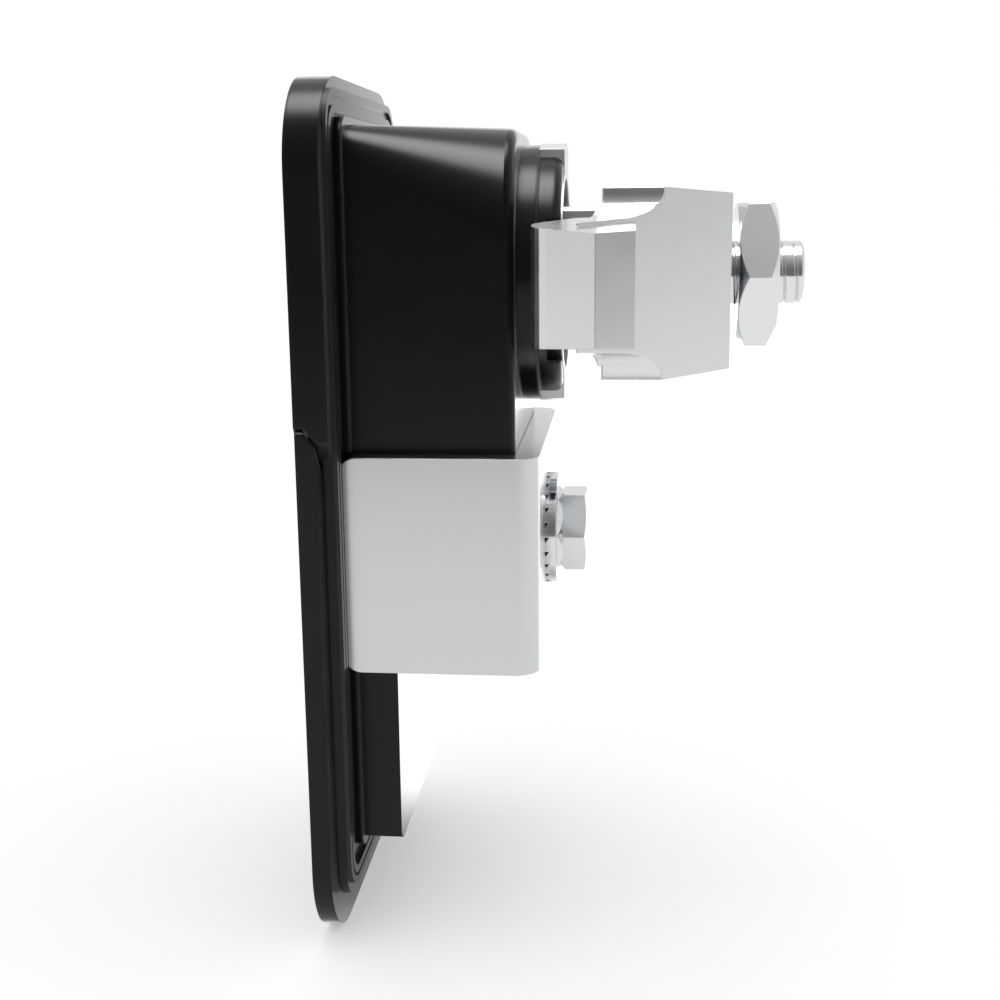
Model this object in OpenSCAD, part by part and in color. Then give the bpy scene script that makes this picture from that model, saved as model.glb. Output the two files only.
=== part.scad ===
// Lift-and-turn compression latch for a panel door, side-clamped by a U bracket.
// X runs across the latch, +Y points into the cabinet, +Z is up.
// The origin is on the spindle axis, in the plane where the flange sits on the panel.

/* [Front plate] */
// Width of the bezel and the handle
bezel_w = 50; // [46:0.5:56]
// Height of the bezel above the spindle axis
bezel_top = 23.6; // [22.5:0.1:27]
// Thickness of the bezel in front of the panel
bezel_t = 4.05; // [3.8:0.05:5]
// Corner radius of the bezel
bezel_r = 10.9; // [10.9:0.1:12]
// Radius about the spindle axis of the joint line between bezel and handle
split_r = 29.7; // [29.7:0.1:31]

/* [Lower flange] */
// Width of the flange behind the handle
flange_w = 46.4; // [45:0.2:47.5]
// Thickness of the flange
flange_t = 1.17; // [1.1:0.01:1.3]
// Distance from the spindle axis down to the flange's lower edge
flange_drop = 77.8; // [76.5:0.1:79]
// Corner radius of the flange
flange_r = 6; // [4:0.5:8]

/* [Housing] */
// Width of the housing block behind the panel
block_w = 34.4; // [34:0.1:36]
// Height of the block above the axis at the flange
block_top = 18.2; // [17.8:0.1:19]
// Height that the block loses at its rear end
block_draft = 0.5; // [0:0.1:1]
// Depth of the housing block behind the panel
block_d = 20.95; // [20.5:0.05:22]
// Distance from the axis down to the underside of the deep block
block_drop = 45.6; // [44:0.1:46.5]
// Top corner radius of the block at the flange
corner_r1 = 3; // [2:0.5:4]
// Top corner radius of the block at its rear end
corner_r2 = 9; // [7:0.5:10]
// Depth of the shallow lower pocket
pocket_d = 6.06; // [5.5:0.02:7]
// Distance from the axis down to the underside of the pocket
pocket_drop = 71.1; // [70:0.1:72]
// Radius of the round boss
boss_r = 16; // [15.8:0.1:16.4]
// Length of the boss's first step
boss_len = 2.4; // [2:0.1:3]
// Radius of the boss's rim
rim_r = 15.25; // [15.1:0.05:15.5]
// Length of the boss's rim
rim_len = 2.85; // [2.6:0.05:3.2]

/* [Gasket] */
// Width over the outer lip of the gasket
gasket_w = 46; // [45:0.2:46.8]
// Height of the lips
lip_h = 0.58; // [0.4:0.02:0.9]
// Width of one lip
lip_w = 0.9; // [0.7:0.05:1]
// Distance between the outer edges of the two lips at the sides
lip_pitch = 1.3; // [1.2:0.05:1.5]

/* [Rotor and handle] */
// Radius of the rotor that turns in the bezel
rotor_r = 15; // [14.6:0.1:15.2]
// Thickness of the handle plate
handle_t = 2.35; // [2.2:0.05:2.7]
// Distance from the spindle axis down to the handle's lower edge
handle_drop = 83; // [81:0.5:88]
// Corner radius at the handle's lower end
handle_r = 11; // [8:0.5:13]
// Width over the two ears of the handle
ear_span = 15; // [14.6:0.1:15.1]
// Thickness of one ear
ear_t = 2.8; // [2.4:0.1:3]
// Distance from the spindle axis down to the pivot pin
pivot_drop = 7.4; // [7.2:0.1:7.5]
// Distance of the pivot pin in front of the panel plane
pivot_front = 2.2; // [2:0.1:2.3]
// Radius of the handle's knuckle round the pivot pin
knuckle_r = 4; // [3.8:0.1:4]
// Distance of the lift pin behind the pivot pin
lift_lead = 5; // [5:0.1:5.4]
// Diameter of the pivot pin
pivot_d = 4; // [3.6:0.1:4.2]
// Diameter of the lift pin
lift_d = 3; // [2.8:0.1:3.2]
// Opening angle of the handle
lift_angle = 45; // [40:1:45]
// Stroke that the spindle gains when the handle is lifted
stroke = 5; // [4.5:0.1:5]

/* [Spindle and cam] */
// Side of the square spindle
spindle_sq = 16.8; // [16.4:0.1:17]
// Side of the small square that carries the cam
seat_sq = 11; // [10:0.5:12]
// Nominal diameter of the threaded stud
stud_d = 8; // [8:0.5:10]
// Distance from the panel plane to the end of the stud
stud_end = 55.9; // [55:0.1:60]
// Distance from the panel plane to the front of the cam hub
cam_front = 32.15; // [31.9:0.05:32.6]
// Thickness of the cam hub
cam_t = 13.8; // [13:0.1:14.4]
// Half height of the cam hub
hub_half = 9.95; // [9.8:0.05:10.2]
// Half height of the cam's end nose
nose_half = 6; // [5.6:0.1:6.4]
// Reach of the cam from the spindle axis to its nose
cam_reach = 33.8; // [32.5:0.1:36]
// Width across flats of the cam nut
nut_flats = 17.3; // [16.5:0.1:18]
// Thickness of the cam nut
nut_t = 4.8; // [4.6:0.1:6]
// Bare thread between the cam hub and the nut
nut_gap = 1.65; // [1:0.05:2.2]

/* [Clamp] */
// Sheet thickness of the clamp bracket
sheet_t = 3; // [2.5:0.1:3.2]
// Height of the clamp bracket
bracket_h = 26.7; // [24:0.1:27]
// Distance from the spindle axis down to the clamp screw
screw_drop = 33.4; // [33:0.1:34]
// Outer bend radius of the bracket
bend_r = 3.1; // [2.8:0.1:3.6]
// Nominal diameter of the clamp screw
screw_d = 6; // [5:0.5:6]
// Width across flats of the screw head
screw_flats = 10; // [9:0.5:11]
// Diameter of the screw's serrated flange
screw_flange_d = 14.8; // [13.5:0.1:15.5]
// Number of serrations under the flange
teeth = 24; // [18:1:30]

/* [Fits] */
// Radial clearance of running fits
run_fit = 0.06; // [0.04:0.01:0.08]
// Clearance between parts that pass each other
gap = 0.3; // [0.25:0.01:0.32]
// Clearance of parts that seat in each other
seat = 0.03; // [0.02:0.01:0.05]

/* [Hidden] */
$fn = 96;
// A sliver that lets a cut run clean through a face
cut = 0.05;
front_y = -bezel_t;
rotor_bore = rotor_r + run_fit;
pivot_y = -pivot_front;
lift_y = pivot_y + lift_lead;
// Rotor stations along Y
step_y = 6.5;
shoulder_t = 2.2;
neck_r = rotor_r - 2;
rear_bore = rotor_r - 0.4;
clip_t = 1;
seal_d = 0.88;
seal_in = rotor_bore - 0.02 - seal_d;
clip_y = step_y + shoulder_t + 0.1;
bush_y = clip_y + clip_t + 2;
bush_len = 8;
stop_r = rotor_r - 1;
stop_d = 1.4;
pin_len = 2 * (rotor_r - 3.8);
// Spindle stations along Y
lift_eye = 4.4;
cavity_end = lift_y + stroke + lift_eye / 2 + 0.7;
square_start = cavity_end + gap;
corner_r = spindle_sq * 0.69;
keeper_t = rim_len + 0.25;
keeper_y = block_d + boss_len - 0.15;
keeper_end = keeper_y + keeper_t;
keeper_ring_r = rim_r - 2;
lug_w = 10;
// The lower lug is shorter by twice this
lug_up = 0.2;
lug_r = boss_r + 0.15;
thrust_t = 0.6;
rotor_end = keeper_y - thrust_t;
rim_end = block_d + boss_len + rim_len;
cam_end = cam_front + cam_t;
nut_y = cam_end + nut_gap;
seat_end = cam_end - 0.5;
// Lever between the pivot pin and the lift pin
lever = pivot_drop;
lift_rate = stroke / lift_angle;
ear_end = 2.4;
ear_top = slot_point(lift_angle)[1] - pivot_drop + ear_end + gap;
handle_y = front_y + 0.1;
handle_back = handle_y + handle_t;
// The neck passes in front of the bezel
neck_front = pivot_y - knuckle_r;
neck_back = front_y - gap;
// Clamp bracket, which seats on the rear face of the block
bracket_in = block_w / 2 + gap;
bracket_out = bracket_in + sheet_t;
web_y = block_d + sheet_t;
screw_flange_t = 1.35;
head_y = web_y + 2.15;
head_t = 3;
// Length of the screw in the block and radius where its flange rises to the head
screw_len = 12;
screw_cone_r = 5.8;
serration_r = 4.4;
// The bracket's middle lies this much below its screw
bracket_low = 0.35;
leg_corner = 2.2;
insert_r = 4.2;
insert_len = 9;
// The two ways that the lips are drawn in from the flange
lip_top = bezel_top - 1.5;
lip_drop = flange_drop - 1.8;
buffer_z = -62;
buffer_r = 3;

// The block's outline, drawn in by s and with top corners of radius r
module block_shape(top, r, s) {
    hw = block_w / 2 - s;
    t = top - s;
    polygon(concat(
        [for (a = [0 : 5 : 90]) [hw - r + r * cos(a), t - r + r * sin(a)]],
        [for (a = [90 : 5 : 180]) [-hw + r + r * cos(a), t - r + r * sin(a)]],
        [[-hw, -block_drop + s], [hw, -block_drop + s]]));
}

// Rounded rectangle in X and Z: half width, top, bottom, radii of the top and bottom corners
module round_plate(hw, top, bottom, r1, r2) {
    difference() {
        translate([-hw, bottom]) square([2 * hw, top - bottom]);
        for (s = [-1, 1]) {
            translate([s * hw, top]) corner_cut(r1, -s, -1);
            translate([s * hw, bottom]) corner_cut(r2, -s, 1);
        }
    }
}

// What a round corner takes off a square one
module corner_cut(r, sx, sz) {
    difference() {
        translate([sx * (r / 2 - cut), sz * (r / 2 - cut)]) square(r + 2 * cut, center = true);
        translate([sx * r, sz * r]) circle(r);
    }
}

// Stands an X-Z outline up and gives it a depth from y0 to y1
module stand(y0, y1) {
    translate([0, y1, 0]) rotate([90, 0, 0]) linear_extrude(y1 - y0) children();
}

// A cylinder along Y
module rod(r, y0, y1) {
    translate([0, y1, 0]) rotate([90, 0, 0]) cylinder(r = r, h = y1 - y0);
}

// A solid of revolution about Y: its outline holds [radius, y] points
module turned(points) {
    rotate([-90, 0, 0]) rotate_extrude() polygon(points);
}

// A pin along X
module cross_pin(d, len, y, z) {
    translate([-len / 2, y, z]) rotate([0, 90, 0]) cylinder(d = d, h = len);
}

// Everything inside the joint line, which is round about the spindle so that the handle can turn
module inside_split(s) {
    turned([[0, front_y - 1], [split_r + s, front_y - 1], [split_r + s, front_y + 1.15],
        [split_r + 0.95 + s, front_y + 2.55], [split_r + 0.95 + s, 1], [0, 1]]);
}

// Deep block: the small corner radius at the flange grows towards the rear, whose edge is rounded
module deep_block() {
    edge_r = 1;
    hull() {
        stand(0, 0.4) block_shape(block_top, corner_r1, 0);
        for (a = [0 : 22.5 : 90]) stand(block_d - edge_r, block_d - edge_r + edge_r * sin(a) + 0.001)
            block_shape(block_top - block_draft, corner_r2, edge_r * (1 - cos(a)));
    }
}

// Boss with a rim that keeps the keeper plate from turning
module boss() {
    edge_r = 1.1;
    rod(boss_r, block_d - 1, block_d + boss_len);
    difference() {
        turned([[0, block_d], [rim_r, block_d], [rim_r, rim_end - edge_r],
            for (a = [0 : 15 : 90]) [rim_r - edge_r * (1 - cos(a)), rim_end - edge_r * (1 - sin(a))],
            [0, rim_end]]);
        // Windows at the two sides
        translate([0, block_d + boss_len + 4, -1.5])
            cube([2 * boss_r + 2, 6, 17], center = true);
        rod(keeper_ring_r + gap, block_d + boss_len, block_d + 8);
    }
}

// Outline of the keeper plate: a ring with a lug at the top and the bottom
module keeper_shape(grow) {
    circle(keeper_ring_r + grow);
    intersection() {
        circle(lug_r + grow);
        translate([0, lug_up]) square([lug_w + 2 * grow, 2 * (lug_r - lug_up + grow)], center = true);
    }
}

module housing() {
    color("#1e1f21") difference() {
        union() {
            // Bezel around the rotor
            intersection() {
                stand(front_y, 0) round_plate(bezel_w / 2, bezel_top, -split_r - 2, bezel_r, 1);
                union() {
                    inside_split(0);
                    stand(front_y - 1, 1) translate([-bezel_w, -4]) square([2 * bezel_w, bezel_top + 10]);
                }
            }
            // Flange behind the handle
            stand(-flange_t, 0)
                round_plate(flange_w / 2, 0, -flange_drop, 1, flange_r);
            collar();
            deep_block();
            stand(-cut, pocket_d) round_plate(block_w / 2, 0, -pocket_drop, 1, 1.9);
            boss();
        }
        // Stepped bore for the rotor
        rod(rotor_bore, front_y - 1, step_y);
        rod(neck_r + run_fit, 0, step_y + 4);
        rod(rear_bore, step_y + shoulder_t, keeper_y + cut);
        stop_groove();
        // Seat of the keeper plate
        stand(keeper_y, rim_end + 1) keeper_shape(seat);
        // Hole of the threaded insert
        translate([0, 0, -screw_drop]) rod(insert_r, block_d - insert_len, block_d + 1);
        translate([0, 0, -screw_drop]) rod(screw_d / 2 + gap, block_d - insert_len - 4, block_d);
        // Blind hole of the rubber buffer
        translate([0, 0, buffer_z]) rod(buffer_r, -flange_t - 1, 3);
    }
}

// Low collar that locates the gasket round the block, open where the bracket's legs stand
module collar() {
    difference() {
        stand(-cut, 1.15)
            round_plate(block_w / 2 + 0.9, block_top + 0.9, -pocket_drop - 0.9, corner_r1 + 0.9, 2.4);
        translate([0, 1, -screw_drop - bracket_low]) cube([bezel_w, 2, bracket_h + 2 * gap], center = true);
    }
}

// Quarter-turn groove for the stop pin, cut into the shoulder of the bore
module stop_groove() {
    a0 = atan2(stop_d / 2 + gap, stop_r);
    translate([0, step_y + 1.5, 0]) rotate([90, 0, 0]) rotate([0, 0, 180 - a0])
        rotate_extrude(angle = 90 + 2 * a0) translate([neck_r - 0.5, 0])
            square([rotor_bore - neck_r + 0.5, 2]);
}

// Double-lip gasket between flange and panel
module gasket() {
    color("#18191a") stand(0, lip_h) difference() {
        round_plate(gasket_w / 2, lip_top, -lip_drop, 5, 5);
        gasket_ring();
        lip_gap();
    }
    color("#18191a") difference() {
        stand(0, 0.2) round_plate(gasket_w / 2 - 0.2, lip_top - 0.2, -lip_drop + 0.2, 4.8, 4.8);
        stand(-1, 1) gasket_ring();
    }
}

// What the gasket leaves free inside its second lip
module gasket_ring() {
    i = lip_pitch + lip_w;
    round_plate(gasket_w / 2 - i, lip_top - i - 0.6, -lip_drop + i, 3, 3);
}

// Groove between the two lips
module lip_gap() {
    difference() {
        round_plate(gasket_w / 2 - lip_w, lip_top - lip_w, -lip_drop + lip_w, 4.1, 4.1);
        round_plate(gasket_w / 2 - lip_pitch, lip_top - lip_pitch - 0.6,
            -lip_drop + lip_pitch, 3.7, 3.7);
    }
}

// Rotor: round barrel with a cavity for the ears and a square hole for the spindle
module rotor() {
    wide = ear_span + 2 * gap;
    slot_low = -pivot_drop - knuckle_r - gap;
    slot_high = -pivot_drop + knuckle_r + gap;
    color("#1b1c1e") difference() {
        union() {
            rod(rotor_r, front_y, step_y - 0.1);
            rod(neck_r, step_y - 1, rotor_end);
        }
        // Cavity behind the front wall
        translate([-wide / 2, front_y + 1, slot_low])
            cube([wide, cavity_end - front_y - 1, ear_top - slot_low]);
        // Slot that the handle's knuckle comes in by
        translate([-wide / 2, front_y - 1, slot_low]) cube([wide, 4, slot_high - slot_low]);
        stand(-1, rotor_end + 1) turned_square(spindle_sq + 4 * run_fit, corner_r + 2 * run_fit);
        cross_pin(pivot_d + 2 * seat, pin_len, pivot_y, -pivot_drop);
        // Grooves of the seal and the retaining ring
        groove(seal_in - seat, rotor_r + 1, 2, 3);
        groove(neck_r - 0.8, neck_r + 1, clip_y, clip_y + clip_t);
        // Blind hole of the stop pin
        translate([-stop_r, 0, 0]) rod(stop_d / 2 + seat, step_y - 3.1, step_y + 1);
    }
}

// A ring-shaped cut about Y
module groove(r0, r1, y0, y1) {
    difference() {
        rod(r1, y0, y1);
        rod(r0, y0 - 1, y1 + 1);
    }
}

// Rubber ring that seals the rotor
module rotor_seal() {
    color("#101112") translate([0, 2.5, 0]) rotate([90, 0, 0])
        rotate_extrude() translate([seal_in + seal_d / 2, 0]) circle(d = seal_d, $fn = 24);
}

// Open retaining ring behind the housing's shoulder
module rotor_ring() {
    color("#9a9da1")
        open_ring(neck_r - 0.8 + seat, neck_r + 1.15, clip_y + seat, clip_y + clip_t - seat, 5);
}

// Plain bush that guides the rear end of the rotor
module rotor_bush() {
    color("#c9a45c") groove(neck_r + run_fit, rear_bore - seat, bush_y, bush_y + bush_len);
}

module thrust_washer() {
    color("#b7babd") groove(corner_r + gap, rear_bore - 0.2, rotor_end + seat, keeper_y - seat);
}

// Pin that stops the rotor after a quarter turn
module stop_pin() {
    color("#b9bcc0") translate([-stop_r, 0, 0]) rod(stop_d / 2, step_y - 3.1 + seat, step_y + 1.2);
}

// Ring with a gap of width w at its lower side
module open_ring(r0, r1, y0, y1, w) {
    difference() {
        groove(r0, r1, y0, y1);
        translate([0, (y0 + y1) / 2, -r1]) cube([w, 3 * (y1 - y0), r1], center = true);
    }
}

// Point of the lift pin, seen from the turning handle, at the lift angle a
function slot_point(a) = let (y = lift_lead + lift_rate * a)
    [y * cos(a) - lever * sin(a), y * sin(a) + lever * cos(a)];
// Outline of the slot that turns the handle's angle into an even stroke
function slot_side(r, s) = [for (i = [0 : 6]) let (a = i * lift_angle / 6, p = slot_point(a),
        q = slot_point(a + 1), d = q - p, n = [-d[1], d[0]] / norm(d)) p + s * r * n];
function reversed(v) = [for (i = [len(v) - 1 : -1 : 0]) v[i]];

// Curved slot for the lift pin, drawn in the ear's own plane
module lift_slot(r) {
    polygon(concat(slot_side(r, 1), reversed(slot_side(r, -1))));
    translate(slot_point(0)) circle(r);
    translate(slot_point(lift_angle)) circle(r);
}

// One ear: a knuckle round the pivot and a lever up to the lift pin
module ear() {
    difference() {
        union() {
            circle(knuckle_r);
            hull() {
                translate([2.2, 1.5]) circle(r = 2.6, $fn = 32);
                translate(slot_point(0)) circle(r = ear_end, $fn = 32);
                translate(slot_point(lift_angle)) circle(r = ear_end, $fn = 32);
            }
        }
        lift_slot(lift_d / 2 + gap / 2);
        circle(d = pivot_d + 2 * run_fit);
    }
}

// Front barrel of the knuckle, neck and ears
module handle_neck() {
    difference() {
        cross_pin(2 * knuckle_r, ear_span, pivot_y, -pivot_drop);
        translate([0, pivot_y + 3, -pivot_drop])
            cube([ear_span - 2 * ear_t, 8.8, 2 * knuckle_r + 1], center = true);
        cross_pin(pivot_d + 2 * run_fit, ear_span + 1, pivot_y, -pivot_drop);
    }
    translate([0, neck_front, -pivot_drop]) rotate([-90, 0, 0])
        linear_extrude(neck_back - neck_front) neck_shape();
    difference() {
        translate([0, neck_front, -pivot_drop]) rotate([-90, 0, 0])
            linear_extrude(handle_back - 1 - neck_front) neck_shape();
        inside_split(gap);
    }
    for (s = [-1, 1]) translate([s * (ear_span - ear_t) / 2, pivot_y, -pivot_drop])
        rotate([90, 0, 90]) linear_extrude(ear_t, center = true) ear();
}

// Front outline of the neck, which runs down onto the cover plate
module neck_shape() {
    len = 36;
    translate([-ear_span / 2, 0]) square([ear_span, len - ear_span / 2]);
    translate([0, len - ear_span / 2]) circle(d = ear_span);
}

module handle() {
    color("#1e1f21") union() {
        // Cover plate, bevelled where it meets the bezel
        difference() {
            stand(handle_y, handle_back)
                round_plate(bezel_w / 2, 0, -handle_drop, 1, handle_r);
            inside_split(gap);
        }
        handle_neck();
    }
}

module handle_pin() {
    color("#b9bcc0") cross_pin(pivot_d, pin_len - 2 * seat, pivot_y, -pivot_drop);
}

module lift_pin() {
    color("#b9bcc0") cross_pin(lift_d, ear_span - 0.2, lift_y, 0);
}

// Square of side a with its corners turned down to radius r
module turned_square(a, r) {
    intersection() {
        square(a, center = true);
        circle(r);
    }
}

module spindle() {
    head_w = ear_span - 2 * ear_t - 2 * gap;
    color("#b4b7ba") difference() {
        union() {
            stand(square_start, cam_front) turned_square(spindle_sq, corner_r);
            // Eye between the ears
            cross_pin(2 * lift_eye, head_w, lift_y, 0);
            translate([-head_w / 2, lift_y, -lift_eye])
                cube([head_w, square_start - lift_y + 1, 2 * lift_eye]);
            stand(cam_front - 1, seat_end) turned_square(seat_sq, seat_sq * 0.66);
        }
        cross_pin(lift_d + 2 * seat, head_w + 2, lift_y, 0);
        rod(stud_d / 2 + seat, cam_front, seat_end + 1);
    }
}

module keeper_plate() {
    color("#c6c9cb") difference() {
        stand(keeper_y, keeper_end) keeper_shape(0);
        rod(corner_r + gap, keeper_y - 1, keeper_end + 1);
    }
}

// Threaded stud in the end of the spindle
module stud() {
    color("#d7dadc") turned([[0, cam_front + 1], [stud_d / 2, cam_front + 1],
        [stud_d / 2, stud_end - 0.3], [stud_d / 2 - 0.3, stud_end], [0, stud_end]]);
}

// Plan of the cam body: the slanted rear face runs from the hub to the front of the arm
module cam_plan() {
    rear_x = 17.5;
    f = cam_front;
    polygon([[-hub_half - 1, f], [22.2, f], [22.9, f - 1.2], [26, f - 2.6], [cam_reach - 4.9, f - 3.5],
        [rear_x, f + cam_t], [-hub_half - 1, f + cam_t]]);
}

// Plan of the nose: chamfered rear corner, flat end that leans in, round hook in front
module nose_plan() {
    hook_r = 3.65;
    f = cam_front;
    e = cam_reach;
    polygon([[14, f + 2.7], [e - 1.9, f + 2.85], [e, f - 1.35],
        for (a = [30 : 15 : 150]) [e - 6.8 + hook_r * cos(a), f - 4.85 - hook_r * sin(a)],
        [e - 13.6, f - 3], [e - 16.2, f]]);
}

// Front view of the cam body: round hub, widening block, hollow corners and a tapering arm
module cam_outline() {
    block_x = 22.7;
    block_half = hub_half + 0.7;
    fil = 3.1;
    arm_half = block_half - fil - 0.2;
    end_half = nose_half + 0.25;
    difference() {
        union() {
            circle(hub_half);
            polygon([[0, hub_half], [17.5, hub_half], [block_x, block_half], [block_x, -block_half],
                [17.5, -hub_half], [0, -hub_half]]);
            polygon([[block_x - 2, -arm_half - 3], [block_x + fil, -arm_half], [cam_reach, -end_half],
                [cam_reach, end_half], [block_x + fil, arm_half], [block_x - 2, arm_half + 3]]);
        }
        for (s = [-1, 1]) translate([block_x + fil, s * (arm_half + fil)]) circle(fil);
    }
}

// Front view of the nose, which tapers a little towards its end
module nose_outline() {
    root_half = nose_half + 1.35;
    polygon([[14, -root_half], [21, -root_half], [cam_reach, -nose_half],
        [cam_reach, nose_half], [21, root_half], [14, root_half]]);
}

module cam() {
    color("#cfd1d3") difference() {
        union() {
            intersection() {
                stand(cam_front - 20, cam_end) cam_outline();
                linear_extrude(4 * hub_half, center = true) cam_plan();
            }
            intersection() {
                stand(cam_front - 20, cam_end) nose_outline();
                linear_extrude(4 * hub_half, center = true) nose_plan();
            }
        }
        stand(cam_front - 1, cam_end + 1) turned_square(seat_sq + 2 * seat, seat_sq * 0.66 + seat);
    }
}

// Hexagon bar with both ends chamfered and a flat facing up
module hex_body(flats, y0, y1, c0, c1) {
    r = flats / sqrt(3);
    i = flats / 2 - 0.1;
    intersection() {
        translate([0, y1, 0]) rotate([90, 0, 0]) cylinder(r = r, h = y1 - y0, $fn = 6);
        turned([[0, y0], [i, y0], [r + 0.1, y0 + c0], [r + 0.1, y1 - c1], [i, y1], [0, y1]]);
    }
}

module cam_nut() {
    color("#d4d7d9") difference() {
        hex_body(nut_flats, nut_y, nut_y + nut_t, 1.2, 1.2);
        rod(stud_d / 2 + seat, nut_y - 1, nut_y + nut_t + 1);
    }
}

// U-shaped clamp bracket, bent from sheet
module bracket() {
    z0 = -screw_drop - bracket_h / 2 - bracket_low;
    color("#c3c5c7") difference() {
        translate([0, 0, z0]) linear_extrude(bracket_h) difference() {
            translate([-bracket_out, seat]) square([2 * bracket_out, web_y - seat]);
            translate([-bracket_in, -1]) square([2 * bracket_in, block_d + 1 + seat]);
            for (s = [-1, 1]) translate([s * bracket_out, web_y]) corner_cut(bend_r, -s, -1);
        }
        // Rounded corners of the two legs
        for (z = [0, 1]) rotate([90, 0, 90]) linear_extrude(2 * bracket_out + 2, center = true)
            translate([seat, z0 + z * bracket_h]) corner_cut(leg_corner, 1, 1 - 2 * z);
        translate([0, 0, -screw_drop]) rod(screw_d / 2 + gap, block_d - 1, web_y + 1);
    }
}

// Hexagon screw with a serrated flange
module clamp_screw() {
    r = screw_flange_d / 2;
    tooth = 0.45;
    color("#d2d5d7") translate([0, 0, -screw_drop]) {
        difference() {
            turned([[0, web_y - screw_len], [screw_d / 2, web_y - screw_len], [screw_d / 2, web_y],
                [r, web_y], [r, web_y + screw_flange_t], [screw_cone_r, web_y + screw_flange_t],
                [screw_flats / 2, head_y], [0, head_y]]);
            for (i = [0 : teeth - 1]) rotate([0, i * 360 / teeth, 0])
                translate([serration_r, web_y, 0]) rotate([0, 90, 0]) linear_extrude(r)
                    polygon([[-0.35, -0.1], [0.35, -0.1], [0.35, 0], [-0.35, tooth]]);
        }
        hex_body(screw_flats, head_y - 0.6, head_y + head_t, 0.9, 0.3);
    }
}

// Threaded insert in the rear face of the block
module screw_insert() {
    color("#c8a24a") translate([0, 0, -screw_drop]) difference() {
        rod(insert_r - seat, block_d - insert_len + seat, block_d - 0.2);
        rod(screw_d / 2 + seat, block_d - insert_len - 1, block_d + 1);
    }
}

// Rubber buffer that the closed handle rests on
module handle_buffer() {
    color("#101112") translate([0, 0, buffer_z]) rod(buffer_r - seat, handle_back + 0.05, 3 - seat);
}

housing();
gasket();
rotor();
rotor_seal();
rotor_ring();
rotor_bush();
thrust_washer();
stop_pin();
handle();
handle_pin();
lift_pin();
spindle();
stud();
cam();
cam_nut();
keeper_plate();
bracket();
clamp_screw();
screw_insert();
handle_buffer();
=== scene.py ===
import bpy
import math
from mathutils import Matrix, Vector


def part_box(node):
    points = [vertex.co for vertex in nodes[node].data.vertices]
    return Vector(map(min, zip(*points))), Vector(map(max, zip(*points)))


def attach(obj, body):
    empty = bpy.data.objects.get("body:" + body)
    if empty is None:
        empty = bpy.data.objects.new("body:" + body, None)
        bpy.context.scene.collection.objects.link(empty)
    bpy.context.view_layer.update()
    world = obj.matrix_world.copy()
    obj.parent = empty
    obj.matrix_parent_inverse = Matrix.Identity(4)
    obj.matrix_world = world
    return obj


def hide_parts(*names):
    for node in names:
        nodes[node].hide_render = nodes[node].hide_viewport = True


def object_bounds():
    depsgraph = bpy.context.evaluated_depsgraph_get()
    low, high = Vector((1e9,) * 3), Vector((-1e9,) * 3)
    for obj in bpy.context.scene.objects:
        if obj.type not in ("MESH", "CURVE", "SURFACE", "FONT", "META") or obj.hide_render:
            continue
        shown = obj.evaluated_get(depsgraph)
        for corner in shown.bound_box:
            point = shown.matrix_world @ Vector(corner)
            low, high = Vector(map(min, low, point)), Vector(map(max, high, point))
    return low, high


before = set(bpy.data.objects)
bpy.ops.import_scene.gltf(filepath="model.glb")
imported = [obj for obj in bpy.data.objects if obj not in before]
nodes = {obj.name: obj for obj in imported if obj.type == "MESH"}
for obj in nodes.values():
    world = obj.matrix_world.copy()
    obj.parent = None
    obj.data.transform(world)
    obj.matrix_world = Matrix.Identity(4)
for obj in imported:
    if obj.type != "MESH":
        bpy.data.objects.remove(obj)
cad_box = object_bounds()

# ---------------------------------------------------------------- Studio and camera
# The latch stands on its handle's lower edge on a white sweep, and is seen
# from the cam's side with a 50 mm lens, a hand's width away. A bright room and
# a soft box overhead keep the plated parts bright and the shadow wide.
mm = 0.001
camera_place = Vector((180.0, 34.45, 10.06)) * mm
camera_right = Vector((-0.09184, 0.99573, -0.00937))
camera_up = Vector((-0.21516, -0.01066, 0.97652))
camera_back = Vector((0.97225, 0.09169, 0.21522))
camera = bpy.data.objects.new("camera", bpy.data.cameras.new("camera"))
bpy.context.scene.collection.objects.link(camera)
camera.data.lens = 50.0
camera.data.sensor_width = 36.0
camera.data.clip_start = 5 * mm
camera.matrix_world = Matrix((
    (camera_right.x, camera_up.x, camera_back.x, camera_place.x),
    (camera_right.y, camera_up.y, camera_back.y, camera_place.y),
    (camera_right.z, camera_up.z, camera_back.z, camera_place.z),
    (0, 0, 0, 1)))
bpy.context.scene.camera = camera
bpy.context.scene.view_settings.view_transform = "Standard"


def stock(name):
    stuff = bpy.data.materials.new(name)
    stuff.use_nodes = True
    t = stuff.node_tree
    place = t.nodes.new("ShaderNodeTexCoord").outputs["Object"]
    return stuff, t, t.nodes["Principled BSDF"], place


def feed(t, slot, value):
    if isinstance(value, (int, float)):
        slot.default_value = value
    else:
        t.links.new(value, slot)


def figure(t, operation, *values):
    node = t.nodes.new("ShaderNodeMath")
    node.operation = operation
    for slot, value in zip(node.inputs, values):
        feed(t, slot, value)
    return node.outputs[0]


def graded(t, value, low, high, first, last, rule="SMOOTHSTEP"):
    step = t.nodes.new("ShaderNodeMapRange")
    step.interpolation_type = rule
    step.inputs["From Min"].default_value = low
    step.inputs["From Max"].default_value = high
    step.inputs["To Min"].default_value = first
    step.inputs["To Max"].default_value = last
    t.links.new(value, step.inputs["Value"])
    return step.outputs["Result"]


def either(t, choice, first, second):
    mix = t.nodes.new("ShaderNodeMix")
    mix.data_type = "FLOAT"
    t.links.new(choice, mix.inputs["Factor"])
    feed(t, mix.inputs[2], first)
    feed(t, mix.inputs[3], second)
    return mix.outputs[0]


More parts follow.
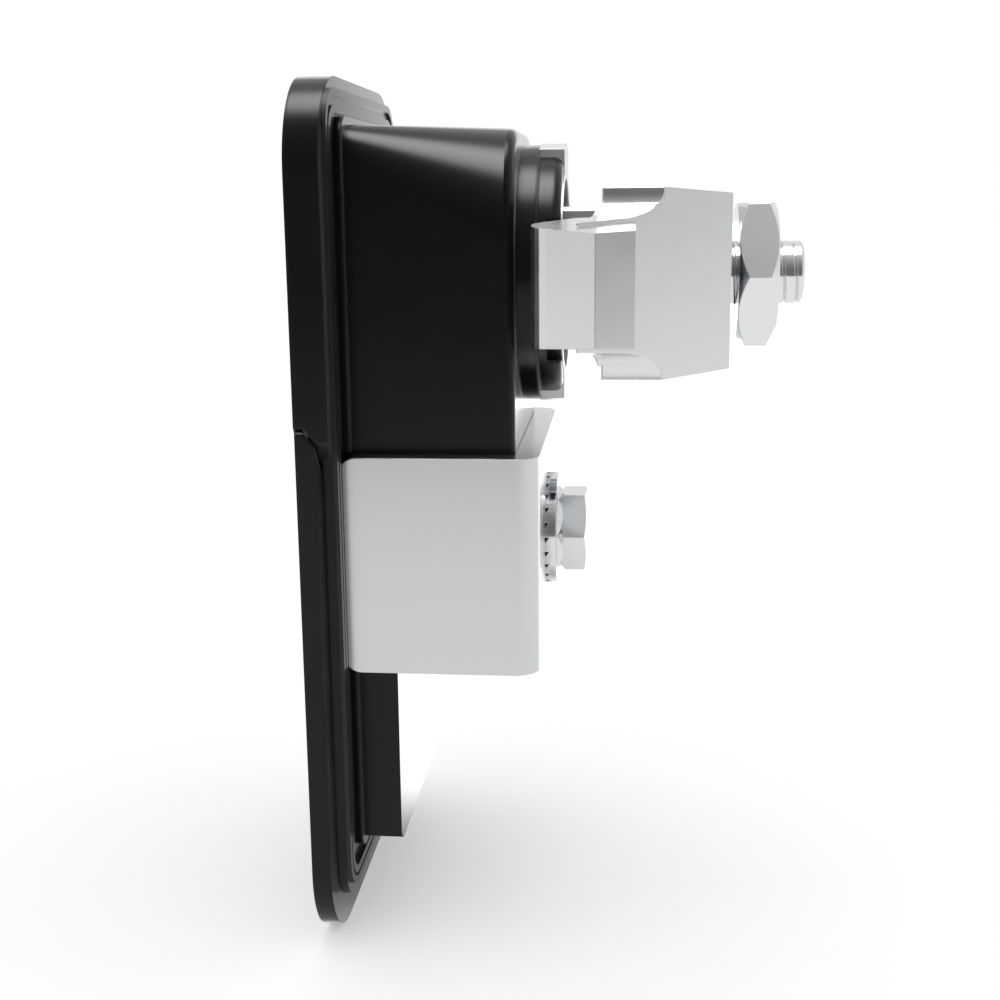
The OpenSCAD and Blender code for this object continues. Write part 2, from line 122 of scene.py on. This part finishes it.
sweep_z = cad_box[0][2] - 0.05 * mm
sweep_front, sweep_reach = 0.5, 4.0
paper_tone, paper_lift = 0.90, 0.33
# Centre of the painted shadow that the parts mirror at the latch's foot
painted_shadow_foot = (0.0, 2 * mm, sweep_z)


def sweep_paper(name):
    stuff, t, paper, place = stock(name)
    stuff.cycles.emission_sampling = "NONE"
    paper.inputs["Roughness"].default_value = 0.9
    paper.inputs["Specular IOR Level"].default_value = 0.0
    paper.inputs["Emission Color"].default_value = (1, 1, 1, 1)
    # Bright parts mirror a painted reflection, not the lit paper: to glossy rays the paper is black
    # and glows plain white, without the shadow
    mirror = t.nodes.new("ShaderNodeLightPath").outputs["Is Glossy Ray"]
    sheet = t.nodes.new("ShaderNodeMix")
    sheet.data_type = "RGBA"
    sheet.inputs[6].default_value = (paper_tone, paper_tone, paper_tone, 1)
    sheet.inputs[7].default_value = (0, 0, 0, 1)
    t.links.new(mirror, sheet.inputs["Factor"])
    t.links.new(sheet.outputs[2], paper.inputs["Base Color"])
    # and the painted reflection is brighter behind the latch, while a painted shadow darkens it
    # close to the latch's foot
    view = t.nodes.new("ShaderNodeSeparateXYZ")
    t.links.new(t.nodes.new("ShaderNodeNewGeometry").outputs["Incoming"], view.inputs[0])
    # painted reflection: the mirrored paper glows up to 1.9 times brighter for rays heading behind
    # the latch
    painted_reflection_behind = graded(t, view.outputs["X"], 0.70, 0.90, 1.0, 1.9)
    away = t.nodes.new("ShaderNodeVectorMath")
    away.operation = "DISTANCE"
    away.inputs[1].default_value = painted_shadow_foot
    t.links.new(place, away.inputs[0])
    # painted shadow: the mirrored paper's glow dims to 0.15 within 34 mm of the latch's foot
    painted_foot_shadow = graded(t, away.outputs["Value"], 8 * mm, 34 * mm, 0.15, 1.0)
    lift_and_painted_reflection = either(t, mirror, paper_lift, figure(t, "MULTIPLY", painted_reflection_behind, painted_foot_shadow))
    t.links.new(lift_and_painted_reflection, paper.inputs["Emission Strength"])
    return stuff


sweep_mesh = bpy.data.meshes.new("sweep")
sweep_mesh.from_pydata([
    (-sweep_reach, -sweep_reach, sweep_z), (sweep_front, -sweep_reach, sweep_z),
    (sweep_front, sweep_reach, sweep_z), (-sweep_reach, sweep_reach, sweep_z)], [], [(0, 1, 2, 3)])
sweep = bpy.data.objects.new("sweep", sweep_mesh)
bpy.context.scene.collection.objects.link(sweep)
sweep_mesh.materials.append(sweep_paper("sweep_paper"))

# What the parts mirror is bright behind the latch and overhead, and dark behind
# the camera. The paper gets an even light, and the eye sees plain white.
paper_daylight = 0.732
overhead = Vector((-0.02, -0.07, 1.0)).normalized()
room = bpy.data.worlds.new("room")
bpy.context.scene.world = room
room.use_nodes = True
room.cycles.sampling_method = "NONE"
t = room.node_tree
rays = t.nodes.new("ShaderNodeLightPath").outputs
direction = t.nodes.new("ShaderNodeTexCoord").outputs["Generated"]
across = t.nodes.new("ShaderNodeSeparateXYZ")
t.links.new(direction, across.inputs[0])
above = t.nodes.new("ShaderNodeVectorMath")
above.operation = "DOT_PRODUCT"
above.inputs[1].default_value = overhead
t.links.new(direction, above.inputs[0])
sides = graded(t, across.outputs["X"], 0.10, 0.95, 0.90, 0.18, "LINEAR")
core = graded(t, above.outputs["Value"], 0.915, 0.9976, 0.0, 10.5)
even = either(t, rays["Is Diffuse Ray"], figure(t, "ADD", sides, core), paper_daylight)
seen = figure(t, "MAXIMUM", rays["Is Camera Ray"], rays["Is Transmission Ray"])
air = t.nodes["Background"]
air.inputs["Color"].default_value = (1, 1, 1, 1)
t.links.new(either(t, seen, even, 1.0), air.inputs["Strength"])

lamp = bpy.data.objects.new("soft_box_top", bpy.data.lights.new("soft_box_top", "SUN"))
bpy.context.scene.collection.objects.link(lamp)
lamp.data.angle = math.radians(24.0)
lamp.data.energy = 0.2
lamp.rotation_euler = Vector((0.05, -0.07, 1.0)).to_track_quat("Z", "Y").to_euler()


def dress(node, stuff):
    mesh = nodes[node].data
    mesh.materials.clear()
    mesh.materials.append(stuff)


def grain(t, place, scale, detail):
    cloud = t.nodes.new("ShaderNodeTexNoise")
    cloud.inputs["Scale"].default_value = scale
    cloud.inputs["Detail"].default_value = detail
    t.links.new(place, cloud.inputs["Vector"])
    return cloud.outputs["Fac"]


def coloured(t, skin, cloud, dark, light, dark_at=0.0, light_at=1.0):
    tint = t.nodes.new("ShaderNodeValToRGB")
    first, last = tint.color_ramp.elements
    first.position, last.position = dark_at, light_at
    first.color, last.color = (*dark, 1), (*light, 1)
    t.links.new(cloud, tint.inputs["Fac"])
    t.links.new(tint.outputs["Color"], skin.inputs["Base Color"])


def rubbed(t, skin, cloud, smooth, rough):
    t.links.new(graded(t, cloud, 0.0, 1.0, smooth, rough, "LINEAR"), skin.inputs["Roughness"])


def textured(t, skin, height, strength, depth, edge_r=None):
    bump = t.nodes.new("ShaderNodeBump")
    bump.name = "texture"
    bump.inputs["Strength"].default_value = strength
    bump.inputs["Distance"].default_value = depth
    t.links.new(height, bump.inputs["Height"])
    if edge_r is not None:
        edge = t.nodes.new("ShaderNodeBevel")
        edge.inputs["Radius"].default_value = edge_r
        edge.samples = 4
        t.links.new(edge.outputs["Normal"], bump.inputs["Normal"])
    t.links.new(bump.outputs["Normal"], skin.inputs["Normal"])


# Seen along its face the black stock gleams like a waxed skin
def waxed(t, skin, rough, ior):
    along = t.nodes.new("ShaderNodeLayerWeight")
    along.inputs["Blend"].default_value = 0.5
    t.links.new(graded(t, along.outputs["Facing"], 0.74, 0.86, 0.0, 1.0), skin.inputs["Coat Weight"])
    skin.inputs["Coat Roughness"].default_value = rough
    skin.inputs["Coat IOR"].default_value = ior


def moulded_black(name, gloss, peel):
    stuff, t, skin, place = stock(name)
    cloud = grain(t, place, 90.0, 3.0)
    coloured(t, skin, cloud, (0.0034, 0.0035, 0.0037), (0.0050, 0.0051, 0.0054), 0.3, 0.75)
    rubbed(t, skin, cloud, gloss - 0.04, gloss + 0.05)
    textured(t, skin, grain(t, place, 2600.0, 2.0), peel, 0.02 * mm, 0.45 * mm)
    skin.inputs["IOR"].default_value = 1.30
    waxed(t, skin, 0.12, 1.9)
    skin.inputs["Sheen Weight"].default_value = 0.25
    skin.inputs["Sheen Roughness"].default_value = 0.25
    return stuff


nylon = moulded_black("black_nylon", 0.24, 0.2)
dress("housing", nylon)
dress("handle", moulded_black("handle_nylon", 0.22, 0.15))
dress("rotor", moulded_black("rotor_nylon", 0.34, 0.3))

# The upper corners of the block sweep from 3 mm at the flange to a soft 14.5 mm
# at the rear, so their skin is shaded as one smooth cone.
block_depth, block_top, block_draft = 20.95 * mm, 18.2 * mm, 0.5 * mm
flange_corner, rear_corner = 3.0 * mm, 14.5 * mm
corner_start, corner_end = 1.3 * mm, 19.8 * mm
boss_side = 16.5 * mm
t = nylon.node_tree
spot = t.nodes.new("ShaderNodeTexCoord")
spread = t.nodes.new("ShaderNodeSeparateXYZ")
t.links.new(spot.outputs["Object"], spread.inputs[0])
facing = t.nodes.new("ShaderNodeSeparateXYZ")
t.links.new(spot.outputs["Normal"], facing.inputs[0])
x, y, z = spread.outputs
back = figure(t, "MINIMUM", figure(t, "MAXIMUM", figure(t, "DIVIDE", y, block_depth), 0.0), 1.0)
radius = figure(t, "MULTIPLY_ADD", back, rear_corner - flange_corner, flange_corner)
middle = figure(t, "SUBTRACT", figure(t, "MULTIPLY_ADD", back, -block_draft, block_top), radius)
climb = figure(t, "DIVIDE", figure(t, "SUBTRACT", z, middle), radius)
rise = figure(t, "MINIMUM", figure(t, "MAXIMUM", climb, 0.0), 0.999)
level = figure(t, "SQRT", figure(t, "SUBTRACT", 1.0, figure(t, "MULTIPLY", rise, rise)))
round_normal = t.nodes.new("ShaderNodeCombineXYZ")
t.links.new(figure(t, "MULTIPLY", figure(t, "SIGN", x), level), round_normal.inputs["X"])
t.links.new(rise, round_normal.inputs["Z"])
from_axis = figure(t, "SQRT", figure(t, "MULTIPLY_ADD", x, x, figure(t, "MULTIPLY", z, z)))
on_skin = figure(t, "GREATER_THAN", from_axis, boss_side)
in_block = figure(t, "MULTIPLY", figure(t, "GREATER_THAN", y, corner_start),
                  figure(t, "LESS_THAN", y, corner_end))
sideways = figure(t, "LESS_THAN", figure(t, "ABSOLUTE", facing.outputs["Y"]), 0.5)
at_corner = figure(t, "MULTIPLY", on_skin, figure(t, "MULTIPLY", in_block, sideways))
corner = t.nodes.new("ShaderNodeMix")
corner.data_type = "VECTOR"
t.links.new(at_corner, corner.inputs["Factor"])
texture = t.nodes["texture"]
t.links.new(texture.inputs["Normal"].links[0].from_socket, corner.inputs[4])
t.links.new(round_normal.outputs[0], corner.inputs[5])
t.links.new(corner.outputs[1], texture.inputs["Normal"])

# ---------------------------------------------------------------- Gasket, seal and buffer
# Soft black rubber. The gasket is moulded flat with two lips and slips round
# the block; the seal is a round cord in the rotor's groove, and the buffer is
# a plug pressed into the flange for the closed handle to rest on.


def rubber(name, tone):
    stuff, t, skin, place = stock(name)
    dust = grain(t, place, 700.0, 5.0)
    coloured(t, skin, dust, (tone * 0.8, tone * 0.8, tone * 0.82), (tone * 1.3,) * 3)
    textured(t, skin, dust, 0.35, 0.03 * mm)
    skin.inputs["Roughness"].default_value = 0.50
    skin.inputs["Specular IOR Level"].default_value = 0.4
    waxed(t, skin, 0.16, 1.8)
    return stuff


dress("gasket", rubber("gasket_rubber", 0.011))
dress("rotor_seal", rubber("seal_rubber", 0.009))
dress("handle_buffer", rubber("buffer_rubber", 0.013))

# ---------------------------------------------------------------- Spindle and cam
# Both are zinc die castings with a thin satin plating. The cam slides over the
# spindle's small square end and hooks back towards the door frame; fine pits
# and a faint mottling are left by the casting.


def bluish(tone, level):
    return tuple(tone * (level + lean) for lean in (0.0, 0.015, 0.03))


def plated(name, tone, rough, edge_r=0.2 * mm):
    stuff, t, skin, place = stock(name)
    skin.inputs["Metallic"].default_value = 1.0
    mottle = grain(t, place, 160.0, 6.0)
    coloured(t, skin, mottle, bluish(tone, 0.97), bluish(tone, 1.01), 0.25, 0.8)
    rubbed(t, skin, mottle, rough - 0.05, rough + 0.06)
    textured(t, skin, grain(t, place, 3200.0, 3.0), 0.2, 0.02 * mm, edge_r)
    return stuff


zinc_tone, cam_gloss = 0.70, 0.24
dress("spindle", plated("spindle_zinc", zinc_tone, 0.36))
dress("cam", plated("cam_zinc", zinc_tone, cam_gloss))

# The hollow corners between the hub block and the arm run out square in the
# solid, so a sliver completes each curve up to the block's edge. It starts
# inside the block and ends at the rear face, which slants from hub to arm.
cam_low, cam_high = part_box("cam")
hub_rear, hub_front = cam_high.y, cam_high.y - 13.8 * mm
slant_start, slant_end = 17.5 * mm, cam_high.x - 4.9 * mm
slant = (hub_rear - hub_front + 3.5 * mm) / (slant_end - slant_start)
hollow_r = 3.1 * mm
hollow_x, hollow_z = 25.8 * mm, 10.45 * mm
hollow_steps, hollow_turn = 8, 29.0
block_edge, root = hollow_x - hollow_r, 0.1 * mm
flank_z, flank_rise = 9.174 * mm, 0.059 * mm
sink = 0.02 * mm
outline = [(block_edge - root, hollow_z), (block_edge, hollow_z)]
for step in range(1, hollow_steps + 1):
    a = math.radians(180 + hollow_turn * step / hollow_steps)
    outline.append((hollow_x + hollow_r * math.cos(a), hollow_z + hollow_r * math.sin(a)))
outline += [(block_edge, flank_z), (block_edge - root, flank_z + flank_rise)]
verts, faces = [], []
for side in (1, -1):
    first = len(verts)
    for x, z in outline:
        rear = hub_rear - (x - slant_start) * slant - (sink if x < block_edge - root / 2 else 0.0)
        verts.append((x, hub_front - 0.7 * mm, side * z))
        verts.append((x, rear, side * z))
    ends = [range(first + end, len(verts), 2) for end in (0, 1)]
    for k in range(len(outline)):
        a, b = ends[0][k], ends[0][(k + 1) % len(outline)]
        faces.append((a, a + 1, b + 1, b)[::side])
    faces.append(tuple(ends[0])[::side])
    faces.append(tuple(ends[1])[::-side])
fillet_mesh = bpy.data.meshes.new("cam_fillets")
fillet_mesh.from_pydata(verts, [], faces)
cam_fillets = bpy.data.objects.new("cam_fillets", fillet_mesh)
bpy.context.scene.collection.objects.link(cam_fillets)
fillet_mesh.materials.append(plated("fillet_zinc", zinc_tone, cam_gloss, 0.0))
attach(cam_fillets, "slider")

# ---------------------------------------------------------------- Clamp bracket
# Three-millimetre steel sheet, bent into a U over the block and zinc plated.
# The rolling grain runs round the bend and shows as faint drawn lines.


def pulled(t, place, along):
    pull = t.nodes.new("ShaderNodeMapping")
    pull.inputs["Scale"].default_value = along
    t.links.new(place, pull.inputs["Vector"])
    return pull.outputs["Vector"]


def drawn_sheet(name, tone, rough, along):
    stuff, t, skin, place = stock(name)
    skin.inputs["Metallic"].default_value = 1.0
    lines = grain(t, pulled(t, place, along), 900.0, 4.0)
    coloured(t, skin, lines, bluish(tone, 0.98), bluish(tone, 1.0), 0.2, 0.8)
    rubbed(t, skin, lines, rough - 0.015, rough + 0.02)
    textured(t, skin, lines, 0.03, 0.01 * mm, 0.1 * mm)
    return stuff


dress("bracket", drawn_sheet("bracket_sheet", 0.62, 0.26, (1.0, 1.0, 0.08)))

# ---------------------------------------------------------------- Keeper plate
# Stamped from bright sheet and set flush in the boss's rear end. Its two lugs
# sit in the notches of the boss and keep it from turning.
dress("keeper_plate", drawn_sheet("keeper_sheet", 0.72, 0.30, (1.0, 0.1, 1.0)))

# ---------------------------------------------------------------- Cam nut and clamp screw
# Cold-formed steel, barrel plated, so every hexagon edge is soft and bright.
# The nut sets the cam's grip; the flange screw pulls the bracket to the panel.
dress("cam_nut", plated("nut_steel", 0.74, 0.12))
dress("clamp_screw", plated("screw_steel", 0.70, 0.10))

# ---------------------------------------------------------------- Threaded stud
# M8 rod with a rolled thread, set in the spindle's end: flat crests and narrow
# grooves. The thread is made here, because it shows between the cam and the
# nut and at the free end, which has only a small chamfer.
stud_low, stud_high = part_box("stud")
thread_r = (stud_high.x - stud_low.x) / 2
thread_pitch, thread_depth = 1.5 * mm, 0.30 * mm
groove_share = 0.11
end_chamfer = 0.3 * mm
thread_steps, rows_per_pitch = 40, 24
y0, y1 = stud_low.y, stud_high.y
row_count = int((y1 - y0) / thread_pitch * rows_per_pitch)
verts, faces = [], []
for i in range(row_count + 1):
    y = y0 + (y1 - y0) * i / row_count
    for k in range(thread_steps):
        a = 2 * math.pi * k / thread_steps
        phase = ((y - y0) / thread_pitch + k / thread_steps) % 1.0
        r = thread_r - thread_depth * max(0.0, 1.0 - abs(phase - 0.5) / groove_share)
        r = min(r, thread_r - max(0.0, y - (y1 - end_chamfer)))
        verts.append((r * math.cos(a), y, r * math.sin(a)))
for i in range(row_count):
    for k in range(thread_steps):
        a, b = i * thread_steps + k, i * thread_steps + (k + 1) % thread_steps
        faces.append((a, a + thread_steps, b + thread_steps, b))
faces.append(tuple(range(thread_steps)))
faces.append(tuple(row_count * thread_steps + k for k in reversed(range(thread_steps))))
thread_mesh = bpy.data.meshes.new("threaded_stud")
thread_mesh.from_pydata(verts, [], faces)
threaded_stud = bpy.data.objects.new("threaded_stud", thread_mesh)
bpy.context.scene.collection.objects.link(threaded_stud)
thread_mesh.materials.append(plated("stud_steel", 0.74, 0.10))
for face in thread_mesh.polygons:
    face.use_smooth = len(face.vertices) == 4
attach(threaded_stud, "slider")
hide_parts("stud")

# ---------------------------------------------------------------- Pins
# Ground steel dowels: the pivot pin is blackened and pressed into the rotor, the
# lift pin sits in the spindle's eye, and the small stop pin limits the quarter turn.
dress("handle_pin", drawn_sheet("pivot_dowel", 0.05, 0.30, (0.1, 1.0, 1.0)))
dress("lift_pin", drawn_sheet("lift_dowel", 0.66, 0.22, (0.1, 1.0, 1.0)))
dress("stop_pin", drawn_sheet("stop_dowel", 0.66, 0.22, (1.0, 0.1, 1.0)))

# ---------------------------------------------------------------- Retaining ring and thrust washer
# Spring steel, stamped and oiled. The open ring holds the rotor behind the
# shoulder of the bore, and the washer takes its push on the keeper plate.
dress("rotor_ring", drawn_sheet("ring_spring_steel", 0.30, 0.34, (1.0, 0.1, 1.0)))
dress("thrust_washer", drawn_sheet("washer_spring_steel", 0.34, 0.32, (1.0, 0.1, 1.0)))

# ---------------------------------------------------------------- Bush and threaded insert
# Turned bronze and brass, pressed into the moulding: the bush guides the rear
# end of the rotor, and the insert takes the clamp screw's thread.


def turned_bronze(name, tone):
    stuff, t, skin, place = stock(name)
    skin.inputs["Metallic"].default_value = 1.0
    rings = grain(t, pulled(t, place, (0.15, 1.0, 0.15)), 1100.0, 2.0)
    coloured(t, skin, rings, [c * 0.85 for c in tone], [min(1.0, c * 1.1) for c in tone])
    skin.inputs["Roughness"].default_value = 0.32
    return stuff


dress("rotor_bush", turned_bronze("bush_bronze", (0.52, 0.34, 0.16)))
dress("screw_insert", turned_bronze("insert_brass", (0.66, 0.50, 0.22)))
